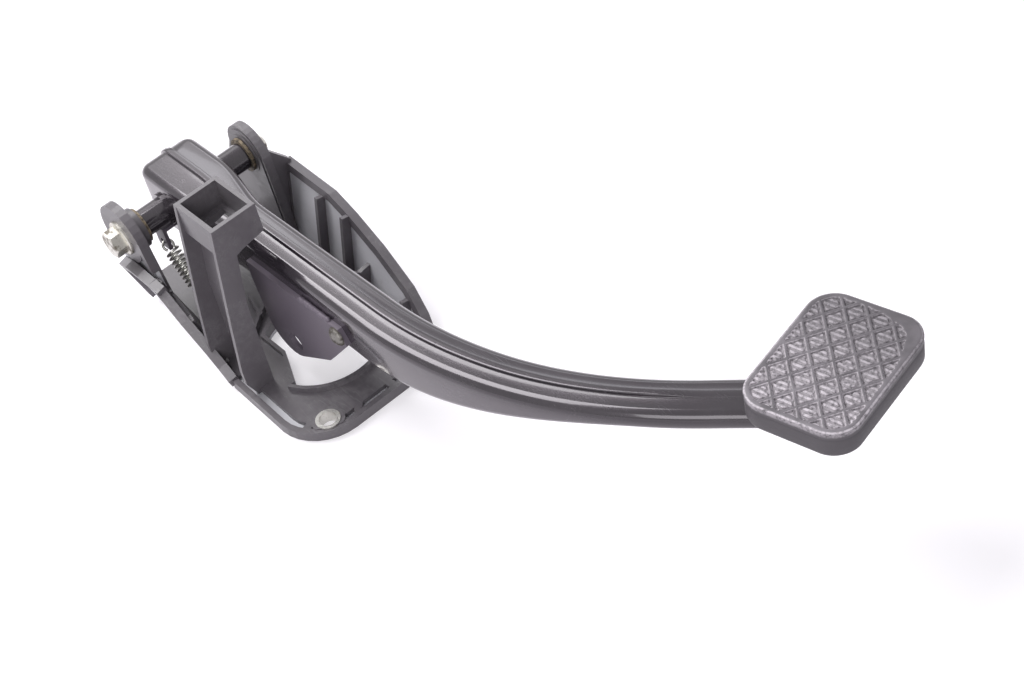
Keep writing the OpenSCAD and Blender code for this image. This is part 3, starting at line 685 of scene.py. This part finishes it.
def swept_shell(name, side):
    mesh = bmesh.new()
    loops, sections = [], []
    for s in arm_stations():
        x, y, h = arm_middle(s)
        sections.append(shell_section(s, side))
        loops.append([mesh.verts.new(((x - d * math.sin(h)) / MM_PER_M,
                                      (y + d * math.cos(h)) / MM_PER_M, z / MM_PER_M))
                      for d, z in sections[-1]])
    join_loops(mesh, loops)
    # A new face has no normal yet, and without one it would be triangulated across the hollow.
    ends = [mesh.faces.new(loops[0]), mesh.faces.new(loops[-1])]
    for end in ends:
        end.normal_update()
    capped = bmesh.ops.triangulate(mesh, faces=ends)["faces"]
    cap = sum(face.calc_area() for face in capped) * MM_PER_M ** 2
    wall = section_area(sections[0]) + section_area(sections[-1])
    print(name, "end caps %.2f mm2, walls %.2f mm2" % (cap, wall))
    assert abs(cap - wall) < CAP_TOLERANCE * wall, "an end cap covers the hollow"
    bmesh.ops.recalc_face_normals(mesh, faces=mesh.faces)
    return add_mesh(name, mesh)


def arm_skin(name, side, node):
    skin = swept_shell(name, side)
    for x, z, radius in ARM_HOLES.values():
        bore(skin, x, z, radius)
    skin.data.shade_smooth()
    skin.data.set_sharp_from_angle(angle=SHARP_ANGLE)
    skin.data.materials.clear()
    skin.data.materials.append(finishes["arm_paint"])
    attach(skin, "pedal")
    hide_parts(node)
    return skin


# %% Make both shells and look for open edges
for skin in (arm_skin("arm_left_skin", -1, "arm_left_shell"),
             arm_skin("arm_right_skin", 1, "arm_right_shell")):
    test = bmesh.new()
    test.from_mesh(skin.data)
    open_edges = sum(not edge.is_manifold for edge in test.edges)
    print(skin.name, "faces", len(test.faces), "open edges", open_edges)
    test.free()

# %% [markdown]
# ## Pieces that Geometry Nodes grow from a line
# The spring and the weld both follow a line. Python gives the line's points, and a small group of
# nodes makes the solid from them. These helpers make a group with named inputs, link its nodes, and
# keep the mesh that comes out.

# %% Helpers for Geometry Nodes
def node_group(name, inputs):
    """A group with its geometry sockets, and the value for each input by its identifier."""
    group = bpy.data.node_groups.new(name + "_nodes", "GeometryNodeTree")

    def socket(label, kind, direction="INPUT"):
        return group.interface.new_socket(label, in_out=direction,
                                          socket_type="NodeSocket" + kind)

    socket("Geometry", "Geometry")
    values = {socket(label, kind).identifier: value for label, kind, value in inputs}
    socket("Geometry", "Geometry", "OUTPUT")
    return group, values


def group_nodes(group, *kinds):
    """The group's input and output, and then one geometry node of each kind."""
    return [group.nodes.new(kind) for kind in ("NodeGroupInput", "NodeGroupOutput")
            + tuple("GeometryNode" + kind for kind in kinds)]


def grown(name, points, group, values, links):
    """Link the group's nodes, run it on a line through the points, and keep the result."""
    for source, target in links:
        group.links.new(source, target)
    line = bpy.data.meshes.new(name)
    line.from_pydata(points, [(i, i + 1) for i in range(len(points) - 1)], [])
    piece = add_object(name, line)
    modifier = piece.modifiers.new("grow", "NODES")
    modifier.node_group = group
    for identifier, value in values.items():
        modifier[identifier] = value
    keep_result(piece)
    return piece


# %% [markdown]
# ## The return spring
# The spring is one wire: a hook through the plate on the floor, nine turns, and a hook through the
# arm's bracket.

# %% A wire swept along a line
def swept_wire(name, points, radius, sides, material):
    group, values = node_group(name, [("Wire Radius", "Float", radius), ("Sides", "Int", sides),
                                      ("Finish", "Material", material)])
    start, end, curve, ring, tube, smoothed, real, coat = group_nodes(
        group, "MeshToCurve", "CurvePrimitiveCircle", "CurveToMesh", "SetShadeSmooth",
        "RealizeInstances", "SetMaterial")
    tube.inputs["Fill Caps"].default_value = True
    return grown(name, points, group, values, (
        (start.outputs["Geometry"], curve.inputs[0]),
        (start.outputs["Wire Radius"], ring.inputs["Radius"]),
        (start.outputs["Sides"], ring.inputs["Resolution"]),
        (curve.outputs[0], tube.inputs["Curve"]),
        (ring.outputs[0], tube.inputs["Profile Curve"]),
        (tube.outputs[0], smoothed.inputs[0]),
        (smoothed.outputs[0], real.inputs[0]),
        (real.outputs[0], coat.inputs["Geometry"]),
        (start.outputs["Finish"], coat.inputs["Material"]),
        (coat.outputs[0], end.inputs[0])))


# %% The line of the spring
SPRING_LOW = Vector((-0.070, -0.023, 0.013))
SPRING_HIGH = Vector((-0.093, -0.023, 0.038))
WIRE, HOOK, COIL, TURNS = 0.0007, 0.0028, 0.0036, 9
WIRE_SIDES, TURN_STEPS = 12, 32
# How far the wire's middle lies from the middle of the hole that it bears on
HOLE_PLAY = 0.00057
# How far each end hook reaches along the spring's line, to where the coil starts
COIL_GAP = 0.0005
HOOK_REACH = HOLE_PLAY + 2 * HOOK + COIL_GAP
HOOK_ANGLES = range(228, -49, -6)


def spring_line():
    span = (SPRING_HIGH - SPRING_LOW).length
    axis = (SPRING_HIGH - SPRING_LOW) / span
    out = axis.cross(Vector((0, 1, 0)))

    def beside(across, away, up):
        return SPRING_LOW + axis * up + Vector((0, across, 0)) + out * away

    low, high = HOLE_PLAY + HOOK, span - HOLE_PLAY - HOOK
    first, last = HOOK_REACH, span - HOOK_REACH
    hook = [math.radians(a) for a in HOOK_ANGLES]
    steps = TURNS * TURN_STEPS
    turns = [math.tau * i / TURN_STEPS for i in range(steps + 1)]
    return ([beside(HOOK * math.cos(a), 0, low - HOOK * math.sin(a)) for a in hook]
            + [beside(COIL * math.cos(a), COIL * math.sin(a), first + (last - first) * i / steps)
               for i, a in enumerate(turns)]
            + [beside(HOOK * math.cos(a), 0, high + HOOK * math.sin(a)) for a in reversed(hook)])


spring = swept_wire("spring_coil", spring_line(), WIRE, WIRE_SIDES, steel_spring)
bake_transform(spring)
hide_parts("return_spring")
print("spring faces", len(spring.data.polygons))

# %% [markdown]
# ## The weld on the lug
# The photograph shows lumpy weld where the lug meets the arm. A weld is a row of overlapping drops,
# each a little different, so this group sets spheres at a spacing along a line and varies their
# size with a fixed seed.

# %% A row of weld drops
WELD_FROM_X, WELD_TO_X = 0.026, 0.047
WELD_DROP, WELD_SPACING, WELD_SEED, WELD_FINENESS = 0.0016, 0.0013, 7, 3
# The least and the most that a drop is stretched along the weld, across it and upwards
WELD_LEAST, WELD_MOST = (0.9, 0.75, 0.75), (1.35, 1.0, 1.05)


def weld_row(name, start, end, drop, spacing, seed, material):
    group, values = node_group(name, [("Drop Radius", "Float", drop), ("Spacing", "Float", spacing),
                                      ("Seed", "Int", seed), ("Finish", "Material", material)])
    first, last, curve, spaced, ball, placed, real, smoothed, coat = group_nodes(
        group, "MeshToCurve", "ResampleCurve", "MeshIcoSphere", "InstanceOnPoints",
        "RealizeInstances", "SetShadeSmooth", "SetMaterial")
    spaced.mode = "LENGTH"
    ball.inputs["Subdivisions"].default_value = WELD_FINENESS
    vary = group.nodes.new("FunctionNodeRandomValue")
    vary.data_type = "FLOAT_VECTOR"
    vary.inputs[0].default_value = WELD_LEAST
    vary.inputs[1].default_value = WELD_MOST
    row = grown(name, [start, end], group, values, (
        (first.outputs["Geometry"], curve.inputs[0]),
        (curve.outputs[0], spaced.inputs["Curve"]),
        (first.outputs["Spacing"], spaced.inputs["Length"]),
        (first.outputs["Drop Radius"], ball.inputs["Radius"]),
        (spaced.outputs[0], placed.inputs["Points"]),
        (ball.outputs[0], placed.inputs["Instance"]),
        (first.outputs["Seed"], vary.inputs["Seed"]),
        (vary.outputs[0], placed.inputs["Scale"]),
        (placed.outputs[0], real.inputs[0]),
        (real.outputs[0], smoothed.inputs[0]),
        (smoothed.outputs[0], coat.inputs["Geometry"]),
        (first.outputs["Finish"], coat.inputs["Material"]),
        (coat.outputs[0], last.inputs[0])))
    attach(row, "pedal")
    return row


lug_low, lug_high = (Vector(c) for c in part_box("pushrod_lug_left"))
weld_from, weld_to = ((x, (lug_low.y + lug_high.y) / 2, lug_high.z)
                      for x in (WELD_FROM_X, WELD_TO_X))
weld = weld_row("lug_weld", weld_from, weld_to, WELD_DROP, WELD_SPACING, WELD_SEED, dull_paint)
print("weld faces", len(weld.data.polygons))

# %% [markdown]
# ## The pivot's bolt and nut
# A real hexagon head is cut by a cone, which leaves curved edges on its six flats. Each piece here
# is a stack of rings along the pivot. A ring is round, or it follows the hexagon, and the chamfer
# ring drops where the hexagon reaches further out.

# %% Rings along the pivot
HEX_FLAT = 0.0065
CHAMFER_START, CHAMFER_SLOPE = 0.94 * HEX_FLAT, math.tan(math.radians(30))
RING_STEPS = 72


def hexagon(angle):
    """Distance to the hexagon's edge at an angle; a corner lies at angle 0."""
    return HEX_FLAT / math.cos((angle % (math.pi / 3)) - math.pi / 6)


def chamfer(end_y, facing):
    """Where along the pivot the cone from a face at end_y meets the hexagon at an angle."""
    def y(angle):
        return end_y - facing * (hexagon(angle) - CHAMFER_START) * CHAMFER_SLOPE
    return y


def ring_piece(name, rings, material, hollow=False):
    """rings: (radius, y) pairs, where either may be a function of the angle."""
    def at(value, angle):
        return value(angle) if callable(value) else value

    mesh = bmesh.new()
    angles = [math.tau * k / RING_STEPS for k in range(RING_STEPS)]
    loops = [[mesh.verts.new((PIVOT_X + at(radius, a) * math.cos(a), at(y, a),
                              PIVOT_Z + at(radius, a) * math.sin(a))) for a in angles]
             for radius, y in rings]
    join_loops(mesh, loops, closed=hollow)
    if not hollow:
        mesh.faces.new(loops[0])
        mesh.faces.new(loops[-1])
    bmesh.ops.recalc_face_normals(mesh, faces=mesh.faces)
    piece = add_mesh(name, mesh)
    piece.data.materials.append(material)
    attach(piece, "bracket")
    return piece


# %% The bolt and the nut
HEAD_HEIGHT, FLANGE, FLANGE_THICKNESS, EDGE = 0.0064, 0.0095, 0.0016, 0.0001
FLANGE_BEVEL, FLANGE_BEVEL_DEPTH, NUT_BEVEL, NUT_RIM = 0.0005, 0.0006, 0.0003, 0.0010
BOLT_R, BOLT_TIP_R, TIP_LENGTH = 0.0040, 0.0033, 0.0008
NUT_HOLE, NUT_MOUTH, NUT_FLANGE, NUT_MOUTH_DEPTH = 0.00402, 0.0045, 0.0079, 0.0005
head_low, bolt_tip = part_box("pivot_bolt")[0][1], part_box("pivot_bolt")[1][1]
head_foot = head_low + HEAD_HEIGHT
flange_foot = head_foot + FLANGE_THICKNESS
bolt = ring_piece("bolt_chamfered", [
    (CHAMFER_START, head_low), (hexagon, chamfer(head_low, -1)), (hexagon, head_foot),
    (FLANGE - FLANGE_BEVEL, head_foot + EDGE), (FLANGE, head_foot + FLANGE_BEVEL_DEPTH),
    (FLANGE, flange_foot), (BOLT_R, flange_foot), (BOLT_R, bolt_tip - TIP_LENGTH),
    (BOLT_TIP_R, bolt_tip)], steel_bolt)
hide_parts("pivot_bolt")

nut_low, nut_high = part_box("pivot_nut")[0][1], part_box("pivot_nut")[1][1]
nut = ring_piece("nut_chamfered", [
    (NUT_HOLE, nut_low), (NUT_FLANGE, nut_low), (NUT_FLANGE, nut_low + NUT_RIM),
    (NUT_FLANGE - NUT_BEVEL, nut_low + FLANGE_THICKNESS),
    (hexagon, nut_low + FLANGE_THICKNESS + EDGE), (hexagon, chamfer(nut_high, 1)),
    (CHAMFER_START, nut_high), (NUT_MOUTH, nut_high), (NUT_HOLE, nut_high - NUT_MOUTH_DEPTH)],
    steel_bolt, hollow=True)
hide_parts("pivot_nut")
print("bolt and nut faces", len(bolt.data.polygons), len(nut.data.polygons))

# %% [markdown]
# ## The room
# The pedal lies on its mounting face on a white table. The floor takes its soft shadow, and soft
# lamps above light it, as in a plain product picture. The white of the background is shown only to
# rays that look at it directly, in a reflection or through something clear. Apart from reflections
# it adds no light to the object.

# %% The floor
FLOOR_HALF, FLOOR_GAP = 4, 0.0005
# Distances from the origin between which the shown floor turns from grey to white
FLOOR_FADE = (0.5, 1.2)


def seen_ray(nodes):
    """1 for rays that show the background to the camera or in a glossy or clear surface."""
    rays = nodes.node("ShaderNodeLightPath")
    camera_ray, glossy, clear = (rays.output(name) for name in (
        "Is Camera Ray", "Is Glossy Ray", "Is Transmission Ray"))
    return (camera_ray + glossy + clear).clamped()


def floor_material():
    f = Finish("floor_white")
    away = (f.x * f.x + f.y * f.y).maths("SQRT")
    f.set("Base Color", (0.60, 0.585, 0.61, 1))
    # Near the object the lamps make up the rest of the white, and leave the shadow
    shown = f.mixed(away.step(*FLOOR_FADE), (0.47, 0.46, 0.47), (1.0, 1.0, 1.0))
    f.set("Emission Color", f.mixed(seen_ray(f), (0, 0, 0), shown))
    f.set("Emission Strength", 1.0)
    f.set("Roughness", 0.75)
    f.set("Specular IOR Level", 0.2)
    return f.material


floor_data = bpy.data.meshes.new("floor")
floor_data.from_pydata([(x * FLOOR_HALF, y * FLOOR_HALF, 0)
                        for x, y in ((-1, -1), (1, -1), (1, 1), (-1, 1))], [], [(0, 1, 2, 3)])
floor = add_object("floor", floor_data)
floor.location.z = cad_box[0][2] - FLOOR_GAP
floor_data.materials.append(floor_material())

# %% The sky
world = bpy.data.worlds.new("studio")
bpy.context.scene.world = world
world.use_nodes = True
sky = Nodes(world.node_tree)
glow = sky.node("ShaderNodeBackground", {"Color": (0.95, 0.95, 1.0, 1), "Strength": 0.45})
white = sky.node("ShaderNodeBackground", {"Color": (1, 1, 1, 1), "Strength": 1.0})
shown_sky = sky.node("ShaderNodeMixShader", {0: seen_ray(sky), 1: glow, 2: white})
sky.node("ShaderNodeOutputWorld", {"Surface": shown_sky})

# %% Lamps
WHOLE, BRACKET = (0.05, 0.0, 0.03), (0.0, 0.0, 0.05)


def lamp(name, place, aim, size, power, colour=(1, 1, 1)):
    data = bpy.data.lights.new(name, "AREA")
    data.shape = "RECTANGLE"
    data.size, data.size_y = size
    data.energy = power
    data.color = colour
    thing = add_object(name, data)
    thing.location = place
    thing.rotation_euler = (Vector(aim) - Vector(place)).to_track_quat("-Z", "Y").to_euler()


lamp("top_soft", (-0.65, -0.2, 1.2), WHOLE, (1.0, 0.8), 19)
lamp("back_strip", (-0.9, 0.9, 0.9), BRACKET, (0.9, 0.2), 1.2, (0.94, 0.96, 1))
lamp("arm_softbox", (-0.82, 0.28, 0.79), BRACKET, (0.5, 0.5), 1.0)
lamp("front_fill", (0.9, -0.9, 0.8), WHOLE, (1.0, 0.8), 10)

# %% [markdown]
# ## The camera
# Its place and turn come from matching the photograph's bolt holes, rims and edges to the model, so
# the view is the photograph's. It looks straight at the model's origin, and a shift of the lens
# brings the origin to the pixel where the photograph has it.

# %% Camera
RIGHT = Vector((0.589674, 0.770836, -0.242042))
UP = Vector((-0.458667, 0.566209, 0.684567))
BACK = Vector((0.664482, -0.292739, 0.687247))
DISTANCE = 0.92545
PHOTO_WIDTH, PHOTO_HEIGHT = 1024, 682
ORIGIN_PIXEL_X, ORIGIN_PIXEL_Y = 325.1, 349.1
FOCAL_PIXELS = 1876.0
SENSOR = 36
camera_data = bpy.data.cameras.new("camera")
camera = add_object("camera", camera_data)
turn = Matrix((RIGHT, UP, BACK)).transposed().to_4x4()
camera.matrix_world = Matrix.Translation(BACK * DISTANCE) @ turn
camera_data.sensor_fit = "HORIZONTAL"
camera_data.sensor_width = SENSOR
camera_data.lens = FOCAL_PIXELS / PHOTO_WIDTH * SENSOR
camera_data.shift_x = (PHOTO_WIDTH / 2 - ORIGIN_PIXEL_X) / PHOTO_WIDTH
camera_data.shift_y = (ORIGIN_PIXEL_Y - PHOTO_HEIGHT / 2) / PHOTO_WIDTH
camera_data.clip_start = 0.01
bpy.context.scene.camera = camera
bpy.context.scene.view_settings.view_transform = "Standard"

# %% Import json
import json
